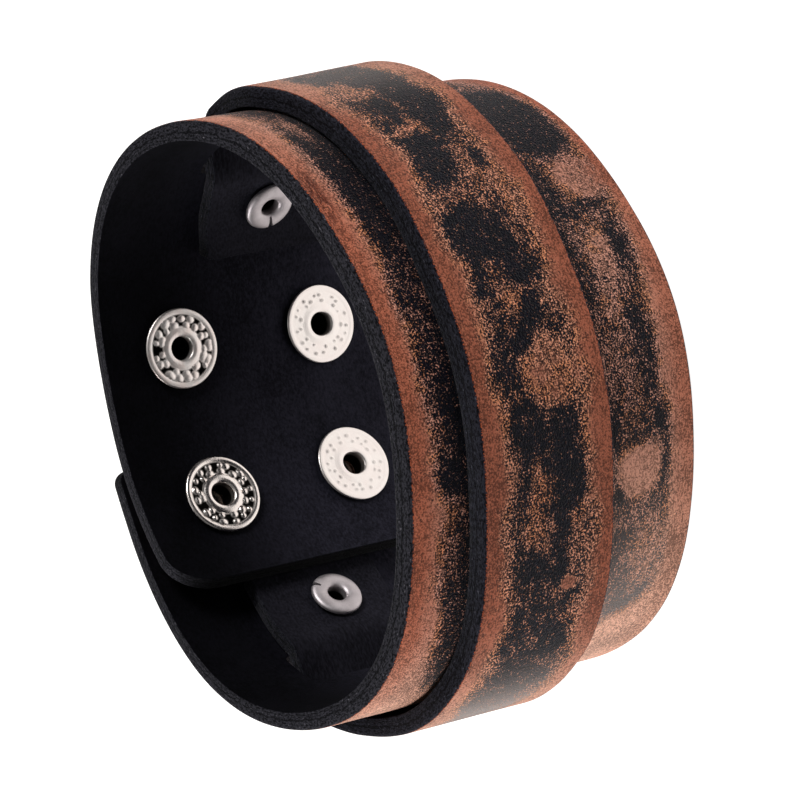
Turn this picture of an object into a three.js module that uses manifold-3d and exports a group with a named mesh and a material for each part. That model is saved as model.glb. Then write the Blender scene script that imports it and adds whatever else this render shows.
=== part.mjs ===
// Leather wrap bracelet, fastened, lying on one rim. Millimetres, +Z up along the loop's axis.
// A wide band is bent into a loop and closed by two of its four snaps. A narrower strap runs round
// its outside, and both strap ends pass through slots in the band and are riveted inside it.
import * as THREE from 'three';
import { mergeVertices } from 'three/addons/utils/BufferGeometryUtils.js';
import Module from 'manifold-3d';

const wasm = await Module();
wasm.setup();

// ---- driving sizes ----
const gap = 0.35;              // air between pieces that touch
const bandWidth = 41.7;
const bandLeather = 2.2;
const strapWidth = 18.9;
const strapLeather = 2.4;
const frontExtra = { band: 0.8, strap: 0.5, at: 285 };  // both are this much thicker at the front

// Outer face of the band seen along its axis: a circle with a few low lobes.
const loop = { radius: 36, centre: [-0.43, 2.83] };
const lobes = [
  { count: 2, size: 2.9, at: 12 },
  { count: 3, size: 0.74, at: 30 },
  { count: 4, size: 0.42, at: 35 },
  { count: 6, size: 0.25, at: -22 },
];
// The lower rim is a little larger than the upper one and set forward, so the wall leans.
const lean = { forward: 2.7, flare: 0.019 };

// The band runs backwards from its outer end, round the front, to its inner end (degrees).
// The outer end springs out a little and the inner end draws steadily inward.
const outerEnd = { at: 99.5, cornerRadius: 2, lift: 0.5, liftsOver: 16 };
const innerEnd = { at: 134.5 + 360, cornerRadius: 6.5, leavesAt: 56 + 360, tipDepth: 5.3, easing: 1.25 };

// Outer strap: height of its middle above the lower rim, its stand-off from the band, and how much
// further its lower edge stands off than its upper one.
const strapEnds = { first: -227.5, last: 53 };
const strapRoute = [
  { at: -228, height: 20.7, standOff: 0.8, flare: 0 },
  { at: -205, height: 21.2, standOff: 0.8, flare: 0 },
  { at: -180, height: 21.7, standOff: 0.7, flare: 0 },
  { at: -145, height: 24.0, standOff: 0.8, flare: 0 },
  { at: -105, height: 24.6, standOff: 0.35, flare: 0 },
  { at: -70, height: 24.8, standOff: 0.35, flare: 0 },
  { at: -42, height: 24.1, standOff: 0.7, flare: 0.2 },
  { at: -5, height: 23.4, standOff: 0.4, flare: 1 },
  { at: 26, height: 19.6, standOff: 0.5, flare: 0 },
  { at: 40, height: 18.2, standOff: 0.5, flare: 0 },
  { at: 53, height: 17.3, standOff: 0.5, flare: 0 },
];
const slots = [{ at: -200 }, { at: 26 }];
const slot = { length: 7.5, room: 3.4, cornerRadius: 1 };  // room is its height beyond the strap's width
const bendLength = 7;          // length along the band of the strap's bend through a slot

const snaps = [
  { number: 1, at: 73.2 + 360, height: 30.5, fastened: false },
  { number: 2, at: 73.6 + 360, height: 8.3, fastened: false },
  { number: 3, at: 111.7 + 360, height: 30, fastened: true },
  { number: 4, at: 111 + 360, height: 8.8, fastened: true },
];
const post = {
  flangeRadius: 5.45,
  boreRadius: 1.6,
  tubeRadius: 1.95,
  holeRadius: 2.3,
  seat: 0.58,                  // air under the flange
  openEnd: 1.6,                // how far its tube runs past the leather, left open
  fastenedEnd: 0.15,
};
const stud = { flangeRadius: 4.5, neckRadius: 2.85, knobRadius: 3.1, boreRadius: 2.3 };
const cap = { radius: 6, height: 1.9, shankRadius: 1.9, discRadius: 3, discHeight: 0.35 };

const rivets = [
  { number: 1, at: 39.8, height: 18.6, slitAt: -15 },
  { number: 2, at: -215.6, height: 19.9, slitAt: 135 },
];
const rivet = {
  ringRadius: 3.5,
  ringHeight: 0.75,
  tubeRadius: 1.75,
  boreRadius: 1.25,
  headRadius: 4,
  holeRadius: 2.1,
  slitWidth: 0.45,
  seat: 0.52,                  // air under the ring
};

// ---- finishes ----
const grain = new THREE.MeshStandardMaterial({ color: 0x8a4a32, roughness: 0.5, metalness: 0 });
const strapGrain = new THREE.MeshStandardMaterial({ color: 0x7a4230, roughness: 0.5, metalness: 0 });
const steel = new THREE.MeshStandardMaterial({ color: 0xc9c4bd, roughness: 0.3, metalness: 1 });

// ---- the loop's surface ----
const rad = THREE.MathUtils.degToRad;
const fine = 30;               // sides of a turned piece

function outline(angle, depth) {
  // A point in the band's section, depth measured outward from its outer face.
  const at = (degrees) => {
    const lobe = ({ count, size, at: peak }) => size * Math.cos(rad(count * (degrees - peak)));
    const reach = lobes.reduce((sum, row) => sum + lobe(row), loop.radius);
    return new THREE.Vector2(reach * Math.cos(rad(degrees)), reach * Math.sin(rad(degrees)));
  };
  const along = at(angle + 0.5).sub(at(angle - 0.5)).normalize();
  return at(angle).add(new THREE.Vector2(along.y, -along.x).multiplyScalar(depth));
}

function settle(point) {
  // Leans the wall: every height is the upper outline, enlarged and moved forward.
  const share = 1 - point.z / bandWidth;
  const scale = 1 + lean.flare * share;
  return new THREE.Vector3(
    point.x * scale + loop.centre[0],
    point.y * scale - lean.forward * share + loop.centre[1],
    point.z,
  );
}

function onWall(angle, depth, height) {
  const flat = outline(angle, depth);
  return settle(new THREE.Vector3(flat.x, flat.y, height));
}

function frameAt(angle, depthAt, height, offset = 0) {
  // x along the leather, y up the wall, z out of it. depthAt(angle) is the depth that the leather follows.
  const step = 2;
  const spot = (turn, rise) => onWall(angle + turn, depthAt(angle + turn), height + rise);
  const along = spot(step, 0).sub(spot(-step, 0)).normalize();
  const up = spot(0, step).sub(spot(0, -step)).normalize();
  const out = along.clone().cross(up).normalize();
  return new THREE.Matrix4()
    .makeBasis(along, out.clone().cross(along), out)
    .setPosition(spot(0, 0).addScaledVector(out, offset));
}

function smooth(from, to, value) {
  return THREE.MathUtils.smoothstep(value, Math.min(from, to), Math.max(from, to));
}

// ---- solids ----
function toSolid(geometry) {
  const bare = geometry.clone();
  bare.deleteAttribute('normal');
  bare.deleteAttribute('uv');
  const merged = mergeVertices(bare, 1e-4);
  return new wasm.Manifold(new wasm.Mesh({
    numProp: 3,
    vertProperties: new Float32Array(merged.attributes.position.array),
    triVerts: new Uint32Array(merged.index.array),
  }));
}

function toGeometry(solid) {
  const cut = solid.getMesh();
  const geometry = new THREE.BufferGeometry();
  geometry.setAttribute('position', new THREE.BufferAttribute(new Float32Array(cut.vertProperties), 3));
  geometry.setIndex(new THREE.BufferAttribute(new Uint32Array(cut.triVerts), 1));
  const flat = geometry.toNonIndexed();
  flat.computeVertexNormals();
  return flat;
}

function cutFrom(geometry, cutters) {
  return toGeometry(cutters.reduce((solid, cutter) => solid.subtract(toSolid(cutter)), toSolid(geometry)));
}

function strip(stations, edges) {
  // A leather strip whose section follows the stations. edges(angle) gives the height of its lower
  // edge, its width, and how far that edge stands further out than the upper one.
  const side = (index, offset) => {
    const before = stations[Math.max(index - 1, 0)].point;
    const after = stations[Math.min(index + 1, stations.length - 1)].point;
    const along = after.clone().sub(before).normalize();
    return stations[index].point.clone().add(new THREE.Vector2(along.y, -along.x).multiplyScalar(offset));
  };
  const outer = stations.map(({ thickness }, index) => side(index, thickness / 2));
  const inner = stations.map(({ thickness }, index) => side(index, -thickness / 2));
  const shape = new THREE.Shape([...outer, ...inner.reverse()]);
  const geometry = new THREE.ExtrudeGeometry(shape, { depth: 1, bevelEnabled: false });
  const position = geometry.attributes.position;
  for (let i = 0; i < position.count; i += 1) {
    const point = new THREE.Vector3().fromBufferAttribute(position, i);
    const { low, width, flare } = edges(THREE.MathUtils.radToDeg(Math.atan2(point.y, point.x)));
    const reach = Math.hypot(point.x, point.y);
    const spread = 1 + (flare * (1 - point.z)) / reach;
    const placed = new THREE.Vector3(point.x * spread, point.y * spread, low + point.z * width);
    position.setXYZ(i, ...settle(placed));
  }
  return geometry;
}

function stationsAlong(from, to, step, depthAt, thicknessAt) {
  const count = Math.round((to - from) / step);
  return Array.from({ length: count + 1 }, (_, index) => {
    const angle = from + ((to - from) * index) / count;
    return { point: outline(angle, depthAt(angle)), thickness: thicknessAt(angle) };
  });
}

function roundCutter(frame, radius) {
  const reach = 3.4;
  return new THREE.CylinderGeometry(radius, radius, reach, 24).rotateX(Math.PI / 2).applyMatrix4(frame);
}

function slotCutter(frame) {
  const reach = 12;
  const round = slot.cornerRadius;
  const x = slot.length / 2 - round;
  const y = (strapWidth + slot.room) / 2 - round;
  const shape = new THREE.Shape()
    .absarc(x, y, round, 0, Math.PI / 2)
    .absarc(-x, y, round, Math.PI / 2, Math.PI)
    .absarc(-x, -y, round, Math.PI, Math.PI * 1.5)
    .absarc(x, -y, round, Math.PI * 1.5, Math.PI * 2);
  const options = { depth: reach, bevelEnabled: false, curveSegments: 5 };
  return new THREE.ExtrudeGeometry(shape, options).translate(0, 0, -reach / 2).applyMatrix4(frame);
}

function cornerCutter({ at, cornerRadius }, height, turn) {
  // Waste outside a corner's quarter round. turn is 1 or -1, the way along the band to its end.
  const reach = 4;
  const over = 3;
  const shape = new THREE.Shape()
    .moveTo(over, -cornerRadius)
    .lineTo(over, over)
    .lineTo(-cornerRadius, over)
    .lineTo(-cornerRadius, 0)
    .absarc(-cornerRadius, -cornerRadius, cornerRadius, Math.PI / 2, 0, true);
  const options = { depth: reach, bevelEnabled: false, curveSegments: 8 };
  const waste = new THREE.ExtrudeGeometry(shape, options).translate(0, 0, -reach / 2);
  const quarter = height > 0 ? 0 : 1;
  const flip = turn > 0 ? quarter : 1 - quarter;
  if (flip) {
    waste.rotateY(Math.PI);
  }
  if (quarter) {
    waste.rotateZ(Math.PI);
  }
  return waste.applyMatrix4(frameAt(at, bandDepth, height));
}

function lathe(profile, frame, segments) {
  // profile: [radius, height out of the wall] pairs of a closed or axis-to-axis outline.
  const points = profile.map(([radius, height]) => new THREE.Vector2(radius, height));
  return new THREE.LatheGeometry(points, segments).rotateX(Math.PI / 2).applyMatrix4(frame);
}

// ---- base band ----
function frontShare(angle) {
  return ((1 + Math.cos(rad(angle - frontExtra.at))) / 2) ** 2;
}

function bandThickness(angle) {
  return bandLeather + frontExtra.band * frontShare(angle);
}

function bandDepth(angle) {
  // Depth of the band's mid-thickness below the outline.
  const turned = angle < outerEnd.at - 5 ? angle + 360 : angle;
  const lift = outerEnd.lift * Math.max(1 - (turned - outerEnd.at) / outerEnd.liftsOver, 0) ** 2;
  const share = Math.max(turned - innerEnd.leavesAt, 0) / (innerEnd.at - innerEnd.leavesAt);
  return lift - bandThickness(angle) / 2 - innerEnd.tipDepth * share ** innerEnd.easing;
}

function alongRoute(angle, column) {
  const turned = angle > 90 ? angle - 360 : angle;
  const next = strapRoute.findIndex((row) => row.at >= turned);
  const [a, b] = [strapRoute[Math.max(next - 1, 0)], strapRoute[next]];
  const share = a === b ? 0 : smooth(a.at, b.at, turned);
  return a[column] + (b[column] - a[column]) * share;
}

function strapHeight(angle) {
  return alongRoute(angle, 'height');
}

function strapThickness(angle) {
  return strapLeather + frontExtra.strap * frontShare(angle);
}

function strapDepth(angle) {
  // Depth of the strap's mid-thickness: outside the band between the slots, inside it past them.
  const outside = alongRoute(angle, 'standOff') + strapThickness(angle) / 2;
  const inside = -bandThickness(angle) - gap - strapThickness(angle) / 2;
  const oneDegree = rad(1) * loop.radius;
  const reach = bendLength / 2 / oneDegree;
  const [first, last] = slots.map(({ at }) => at);
  const out = smooth(first - reach, first + reach, angle) - smooth(last - reach, last + reach, angle);
  return inside + (outside - inside) * out;
}

function baseBand() {
  const stations = stationsAlong(outerEnd.at, innerEnd.at, 4, bandDepth, bandThickness);
  const body = strip(stations, () => ({ low: 0, width: bandWidth, flare: 0 }));
  const cutters = [];
  for (const height of [0, bandWidth]) {
    cutters.push(cornerCutter(outerEnd, height, -1), cornerCutter(innerEnd, height, 1));
  }
  for (const { at } of slots) {
    cutters.push(slotCutter(frameAt(at, bandDepth, strapHeight(at))));
  }
  for (const { at, height } of rivets) {
    cutters.push(roundCutter(frameAt(at, bandDepth, height), rivet.holeRadius));
  }
  for (const { at, height, fastened } of snaps) {
    cutters.push(roundCutter(frameAt(at, bandDepth, height), post.holeRadius));
    if (fastened) {
      cutters.push(roundCutter(frameAt(at - 360, bandDepth, height), post.holeRadius));
    }
  }
  return cutFrom(body, cutters);
}

// ---- outer strap ----
function outerStrap() {
  const stations = stationsAlong(strapEnds.first, strapEnds.last, 1.5, strapDepth, strapThickness);
  const body = strip(stations, (angle) => ({
    low: strapHeight(angle) - strapWidth / 2,
    width: strapWidth,
    flare: alongRoute(angle, 'flare'),
  }));
  const holes = rivets.map(({ at, height }) => frameAt(at, strapDepth, height));
  return cutFrom(body, holes.map((frame) => roundCutter(frame, rivet.holeRadius)));
}

// ---- snaps ----
function snapPost({ at, height, fastened }) {
  // Flange inside the band, with a low rim and a shoulder round the bore, and a tube through the leather.
  const leather = bandThickness(at);
  const frame = frameAt(at, bandDepth, height, -leather / 2 - post.seat);
  const rim = post.flangeRadius;
  const bore = post.boreRadius;
  const through = leather + post.seat + (fastened ? post.fastenedEnd : post.openEnd);
  const profile = [
    [bore, through],
    [bore, -0.3],
    [bore + 0.15, -0.65],
    [bore + 0.45, -0.85],
    [bore + 0.85, -0.8],
    [bore + 1.25, -0.5],
    [rim - 0.9, -0.4],
    [rim - 0.5, -0.6],
    [rim - 0.15, -0.5],
    [rim, -0.2],
    [rim - 0.2, 0],
    [post.tubeRadius, 0],
    [post.tubeRadius, through],
    [bore, through],
  ];
  return lathe(profile, frame, fine);
}

function snapStud({ at, height }) {
  // Outer half of a snap: a ring on the band's outer face with a knob round the end of the post's tube.
  const frame = frameAt(at, bandDepth, height, bandThickness(at) / 2 + gap);
  const profile = [
    [stud.boreRadius, 0],
    [stud.flangeRadius, 0],
    [stud.flangeRadius, 0.5],
    [stud.flangeRadius - 0.3, 0.75],
    [stud.neckRadius, 0.8],
    [stud.neckRadius, 1.3],
    [stud.knobRadius, 1.9],
    [stud.knobRadius - 0.1, 2.3],
    [stud.boreRadius + 0.15, 2.6],
    [stud.boreRadius, 2.4],
    [stud.boreRadius, 0],
  ];
  return lathe(profile, frame, fine);
}

function snapCap({ at, height }) {
  // Domed cap outside the outer end, its shank through the leather and a plain disc behind it.
  const leather = bandThickness(at);
  const frame = frameAt(at - 360, bandDepth, height, leather / 2 + gap);
  const shankEnd = -leather - 2 * gap;
  const profile = [
    [0, shankEnd - cap.discHeight],
    [cap.discRadius, shankEnd - cap.discHeight],
    [cap.discRadius, shankEnd],
    [cap.shankRadius, shankEnd],
    [cap.shankRadius, 0],
    [cap.radius - 0.3, 0],
    [cap.radius, 0.35],
    [cap.radius - 0.25, 0.8],
    [cap.radius * 0.8, cap.height * 0.75],
    [cap.radius * 0.45, cap.height * 0.95],
    [0, cap.height],
  ];
  return lathe(profile, frame, fine);
}

// ---- tubular rivets ----
function tubeRivet({ at, height, slitAt }) {
  // Head outside the band, tube through band and strap, and its end rolled over into a ring inside.
  const face = -bandThickness(at) / 2 - gap - strapThickness(at) - rivet.seat;
  const frame = frameAt(at, bandDepth, height, face);
  const through = bandThickness(at) / 2 - face + gap;
  const middle = (rivet.ringRadius + rivet.boreRadius) / 2;
  const half = (rivet.ringRadius - rivet.boreRadius) / 2;
  const rolled = [0, 30, 60, 90, 120, 150, 180].map((turn) => [
    middle - half * Math.cos(rad(turn)),
    -0.15 - rivet.ringHeight * Math.sin(rad(turn)),
  ]);
  const profile = [
    [0, 3.6],
    [rivet.boreRadius, 3.6],
    ...rolled,
    [rivet.ringRadius - 0.25, 0],
    [rivet.tubeRadius, 0],
    [rivet.tubeRadius, through],
    [rivet.headRadius - 0.2, through],
    [rivet.headRadius, through + 0.3],
    [rivet.headRadius * 0.75, through + 0.75],
    [0, through + 0.95],
  ];
  const slit = new THREE.BoxGeometry(rivet.ringRadius, rivet.slitWidth, 2)
    .translate(rivet.ringRadius / 2 + rivet.boreRadius - 0.2, 0, -0.9)
    .rotateZ(rad(slitAt))
    .applyMatrix4(frame);
  return cutFrom(lathe(profile, frame, fine), [slit]);
}

const group = new THREE.Group();
function addPiece(name, geometry, material) {
  const piece = new THREE.Mesh(geometry, material);
  piece.name = name;
  group.add(piece);
}

addPiece('base_band', baseBand(), grain);
addPiece('outer_strap', outerStrap(), strapGrain);
for (const snap of snaps) {
  addPiece(`snap_post_${snap.number}`, snapPost(snap), steel);
  if (snap.fastened) {
    addPiece(`snap_cap_${snap.number}`, snapCap(snap), steel);
  } else {
    addPiece(`snap_stud_${snap.number}`, snapStud(snap), steel);
  }
}
for (const spot of rivets) {
  addPiece(`tube_rivet_${spot.number}`, tubeRivet(spot), steel);
}

export default group;
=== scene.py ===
import math

import bmesh
import bpy
import numpy as np
from mathutils import Matrix, Vector, noise


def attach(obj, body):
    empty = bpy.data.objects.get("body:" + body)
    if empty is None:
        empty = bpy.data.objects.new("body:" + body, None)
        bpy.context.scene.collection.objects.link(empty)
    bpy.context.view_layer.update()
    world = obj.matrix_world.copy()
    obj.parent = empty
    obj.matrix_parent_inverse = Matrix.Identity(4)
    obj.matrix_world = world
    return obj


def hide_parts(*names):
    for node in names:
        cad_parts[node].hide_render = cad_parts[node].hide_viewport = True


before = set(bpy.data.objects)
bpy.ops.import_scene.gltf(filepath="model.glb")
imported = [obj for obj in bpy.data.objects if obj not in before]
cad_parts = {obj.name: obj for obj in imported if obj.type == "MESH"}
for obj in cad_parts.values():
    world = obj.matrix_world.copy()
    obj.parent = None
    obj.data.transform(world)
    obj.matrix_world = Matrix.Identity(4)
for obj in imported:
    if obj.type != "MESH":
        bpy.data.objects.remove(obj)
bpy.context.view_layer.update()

# ---- Base band ----
# One strap of leather 2.2 mm thick and up to 3 mm at the front, dyed black through the flesh side,
# with a copper-brown grain face rubbed back through black. It is cut flat, its edges are eased and
# its slots and holes punched, and then it is bent into a loop whose inner end laps under the outer.
MM = 0.001
BAND_WIDTH, BAND_LEATHER = 41.7, 2.2
BAND_FRONT, FRONT_AT = 0.8, 285  # extra thickness at the front, and where the front is
LOOP_RADIUS, LOOP_CENTRE = 36.0, (-0.43, 2.83)
LOBES = ((2, 2.9, 12), (3, 0.74, 30), (4, 0.42, 35), (6, 0.25, -22))  # count, size, peak in degrees
LEAN_FORWARD, FLARE = 2.7, 0.019  # the lower rim stands this far forward and is this much larger
OUTER_END, INNER_END = 99.5, 494.5
END_CORNERS = (2.0, 6.5)
END_LIFT, LIFTS_OVER = 0.5, 16  # the outer end stands off this far, over so many degrees
LEAVES_AT, TIP_DEPTH, TIP_CURVE = 416, 5.3, 1.25  # where the inner end turns inward, how far, how late
EDGE_INSETS = (0, 0.05, 0.12, 0.22, 0.36, 0.55, 0.85, 1.3)
EDGE_LOOPS = 4
GRAIN_EASE, FLESH_EASE = 0.5, 0.12
GRAIN_FROM = 0.42  # the grain colour starts this far inside the cut outline
PEBBLES = 3.3  # grain bumps per mm
PUNCH_REACH = 6
WAVES = ((1, 11, 3.1), (0.5, 4.5, 7.7))  # share of the leather's relief, size in mm, seed
STRAY_SIZE, STRAY_SEEDS = 3.5, (4.4, 9.1)
LEATHER_SHARP = 50  # edges sharper than this many degrees stay crisp


def outward(path, angle, step):
    """The unit normal of a path of points, away from the loop's axis."""
    along = path(angle + step) - path(angle - step)
    along /= np.linalg.norm(along, axis=-1, keepdims=True)
    return np.stack([along[..., 1], -along[..., 0]], -1)


def outline(angle, depth):
    """The band's section, with depth in mm outward from its outer face."""

    def rim(degrees):
        lobes = sum(size * np.cos(np.radians(count * (degrees - peak))) for count, size, peak in LOBES)
        reach, turn = LOOP_RADIUS + lobes, np.radians(degrees)
        return np.stack([reach * np.cos(turn), reach * np.sin(turn)], -1)

    return rim(angle) + outward(rim, angle, 0.5) * np.asarray(depth)[..., None]


def settle(flat, height):
    """Leans the wall: the lower rim is a little larger than the upper one and set forward."""
    share = 1 - height / BAND_WIDTH
    scale = 1 + FLARE * share
    x = flat[..., 0] * scale + LOOP_CENTRE[0]
    y = flat[..., 1] * scale - LEAN_FORWARD * share + LOOP_CENTRE[1]
    return np.stack([x, y, height], -1)


def eased(value, low, high):
    share = np.clip((value - low) / (high - low), 0, 1)
    return share * share * (3 - 2 * share)


def arc(angle):
    """Length along a flat blank, in mm, of an angle round the loop."""
    return np.radians(angle) * LOOP_RADIUS


def cut_blank(first, last, width, corners, leather, step):
    """A flat blank: x along the leather, y across it, z from 0 on the grain to -leather."""
    insets = np.array(EDGE_INSETS)

    def spaced(low, high):
        count = round((high - low - 2 * insets[-1]) / step)
        middle = np.linspace(low + insets[-1], high - insets[-1], count + 1)[1:-1]
        return np.concatenate([low + insets, middle, high - insets[::-1]])

    columns, rows = spaced(first, last), spaced(0, width)
    x, y = np.meshgrid(columns, rows, indexing="ij")
    from_edge = np.minimum(y, width - y)
    for radius, end, way in ((corners[0], first, 1), (corners[1], last, -1)):
        short = radius - np.minimum(from_edge, radius)
        cut = radius - np.sqrt(np.maximum(radius**2 - short**2, 0))
        x = x + way * cut * np.maximum(1 - way * (columns[:, None] - end) / (2 * radius), 0)
    inside = outline_distance(x, y, first, last, width, corners)

    def ease(radius):
        short = radius - np.minimum(inside, radius)
        return radius - np.sqrt(np.maximum(radius**2 - short**2, 0))

    across, along = len(rows), len(columns)
    order = np.arange(along * across).reshape(along, across)
    edge = np.concatenate([order[:-1, 0], order[-1, :-1], order[:0:-1, -1], order[0, :0:-1]])
    grain = np.stack([x, y, -ease(GRAIN_EASE)], -1).reshape(-1, 3)
    flesh = np.stack([x, y, ease(FLESH_EASE) - leather], -1).reshape(-1, 3)
    loops = [grain[edge] + (flesh[edge] - grain[edge]) * k / EDGE_LOOPS for k in range(1, EDGE_LOOPS)]
    points = np.concatenate([grain, flesh, *loops])
    a, b, c, d = order[:-1, :-1], order[1:, :-1], order[1:, 1:], order[:-1, 1:]
    top = np.stack([a, b, c, d], -1).reshape(-1, 4)
    rings = [edge]
    rings += [np.arange(len(edge)) + 2 * order.size + k * len(edge) for k in range(EDGE_LOOPS - 1)]
    rings += [edge + order.size]
    faces = [top, top[:, ::-1] + order.size]
    for upper, lower in zip(rings, rings[1:]):
        faces.append(np.stack([lower, np.roll(lower, -1), np.roll(upper, -1), upper], -1))
    mesh = bpy.data.meshes.new("blank")
    mesh.from_pydata(points.tolist(), [], np.concatenate(faces).tolist())
    return mesh


def outline_distance(x, y, first, last, width, corners):
    """How far a point of a flat blank is inside its cut outline, in mm."""
    middle = (first + last) / 2
    radius = np.where(x < middle, corners[0], corners[1])
    beyond_x = np.abs(x - middle) - (last - first) / 2 + radius
    beyond_y = np.abs(y - width / 2) - width / 2 + radius
    corner = np.hypot(np.maximum(beyond_x, 0), np.maximum(beyond_y, 0))
    return radius - corner - np.minimum(np.maximum(beyond_x, beyond_y), 0)


def place_object(name, data):
    made = bpy.data.objects.new(name, data)
    bpy.context.scene.collection.objects.link(made)
    return made


def subtract(mesh, cutter_mesh):
    """A new mesh: the first less the second."""
    body, cutter = place_object("body", mesh), place_object("cutter", cutter_mesh)
    cut = body.modifiers.new("cut", "BOOLEAN")
    cut.operation, cut.solver, cut.object = "DIFFERENCE", "EXACT", cutter
    bpy.context.view_layer.update()
    done = bpy.data.meshes.new_from_object(body.evaluated_get(bpy.context.evaluated_depsgraph_get()))
    for piece in (body, cutter):
        bpy.data.objects.remove(piece)
    return done


def punch(mesh, outlines):
    """Cuts each closed outline of (x, y) points right through a flat blank."""
    points, faces = [], []
    for shape in outlines:
        start, count = len(points), len(shape)
        points += [(x, y, z) for z in (-PUNCH_REACH, PUNCH_REACH) for x, y in shape]
        faces.append(tuple(range(start + count - 1, start - 1, -1)))
        faces.append(tuple(range(start + count, start + 2 * count)))
        for k in range(count):
            after = (k + 1) % count
            faces.append((start + k, start + after, start + count + after, start + count + k))
    cutter_mesh = bpy.data.meshes.new("punch")
    cutter_mesh.from_pydata(points, [], faces)
    return subtract(mesh, cutter_mesh)


def round_hole(x, y, radius, sides=28):
    turns = [math.tau * k / sides for k in range(sides)]
    return [(x + radius * math.cos(t), y + radius * math.sin(t)) for t in turns]


def slot_hole(x, y, length, height, corner):
    shape = []
    for quarter, (side, end) in enumerate(((1, 1), (-1, 1), (-1, -1), (1, -1))):
        for k in range(5):
            turn = (quarter + k / 4) * math.pi / 2
            shape.append((x + side * (length / 2 - corner) + corner * math.cos(turn),
                          y + end * (height / 2 - corner) + corner * math.sin(turn)))
    return shape


def patches(angle, height, rows):
    """The sum of soft oval patches: (at, height, half length and half width in mm, tilt, ink)."""
    total = np.zeros_like(angle)
    for at, middle, long, wide, tilt, ink in rows:
        x, y = arc(angle - at), height - middle
        turn = math.radians(tilt)
        along, across = x * math.cos(turn) + y * math.sin(turn), y * math.cos(turn) - x * math.sin(turn)
        away = np.hypot(along / (long + 0.2), across / (wide + 0.2))
        total += ink * (1 - eased(away, 0.6, 1.3))
    return total


def ripple(x, y, size, seed):
    """Smooth seeded waves over a flat blank, from about -1 to 1."""
    return np.array([noise.noise(Vector((a / size, b / size, seed))) for a, b in zip(x, y)])


def rubbed_at_random(angle, across):
    """Ink in blotches of a few millimetres, for the parts the charts leave out."""
    x = arc(angle)
    return 0.6 + 1.3 * ripple(x / 1.6, across, 6, 5.3) + 0.9 * ripple(x, across, 2.6, 2.9)


def strayed(angle, across, size):
    """How far the charts stray at each point, in degrees and mm, so that no patch is a plain oval."""
    aside, up = (size * ripple(arc(angle), across, STRAY_SIZE, seed) for seed in STRAY_SEEDS)
    return np.degrees(aside / LOOP_RADIUS), up


def points_of(mesh):
    flat = np.zeros(len(mesh.vertices) * 3)
    mesh.vertices.foreach_get("co", flat)
    return flat.reshape(-1, 3)


def chart(mesh, name, values):
    """Keeps a number at each point of a mesh for its material to use."""
    mesh.attributes.new(name, "FLOAT", "POINT").data.foreach_set("value", values.astype(np.float32))


def smooth(mesh, degrees):
    """Shades a mesh smooth, apart from edges sharper than this."""
    mesh.shade_smooth()
    mesh.set_sharp_from_angle(angle=math.radians(degrees))


def nowhere(angle, *_):
    """Zero all along the leather."""
    return 0 * angle


def bend(mesh, name, plan, relief, depth_at, leather_at, ink_at, painted_sheen_at,
         low_at=nowhere, spread_at=nowhere, crease_at=nowhere):
    """Bends a punched blank round the loop and keeps where each point was on the hide."""
    flat = points_of(mesh)
    x, y, z = flat.T
    angle = np.degrees(x / LOOP_RADIUS)
    waves = sum(share * relief * ripple(x, y, size, seed) for share, size, seed in WAVES)
    offset = leather_at(angle) * (0.5 + z / plan["leather"]) + waves

    def middle(a):
        return outline(a, depth_at(a))

    section = middle(angle) + outward(middle, angle, 0.8) * offset[:, None]
    reach = np.linalg.norm(section, axis=1)
    spread = 1 + spread_at(angle) * (1 - y / plan["width"]) / reach
    height = low_at(angle) + y
    points = settle(section * spread[:, None], height) * MM
    mesh.vertices.foreach_set("co", points.ravel())
    chart(mesh, "rim", outline_distance(x, y, plan["first"], plan["last"], plan["width"], plan["corners"]))
    chart(mesh, "end", np.minimum(x - plan["first"], plan["last"] - x))
    chart(mesh, "ink", ink_at(angle, height, y))
    chart(mesh, "painted_sheen", painted_sheen_at(angle, height))
    chart(mesh, "crease", crease_at(angle, height))
    hide = mesh.attributes.new("hide", "FLOAT_VECTOR", "POINT")
    hide.data.foreach_set("vector", flat.astype(np.float32).ravel())
    smooth(mesh, LEATHER_SHARP)
    mesh.name = name
    return place_object(name, mesh)


def front_share(angle):
    return ((1 + np.cos(np.radians(angle - FRONT_AT))) / 2) ** 2


def band_leather(angle):
    return BAND_LEATHER + BAND_FRONT * front_share(angle)


def band_depth(angle):
    turned = np.where(angle < OUTER_END - 5, angle + 360, angle)
    lift = END_LIFT * np.maximum(1 - (turned - OUTER_END) / LIFTS_OVER, 0) ** 2
    share = np.maximum(turned - LEAVES_AT, 0) / (INNER_END - LEAVES_AT)
    return lift - band_leather(angle) / 2 - TIP_DEPTH * share**TIP_CURVE


def srgb(*levels):
    """A colour from its 0 to 255 screen levels."""
    parts = [c / 255 for c in levels]
    return (*[c / 12.92 if c <= 0.04045 else ((c + 0.055) / 1.055) ** 2.4 for c in parts], 1)


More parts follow.
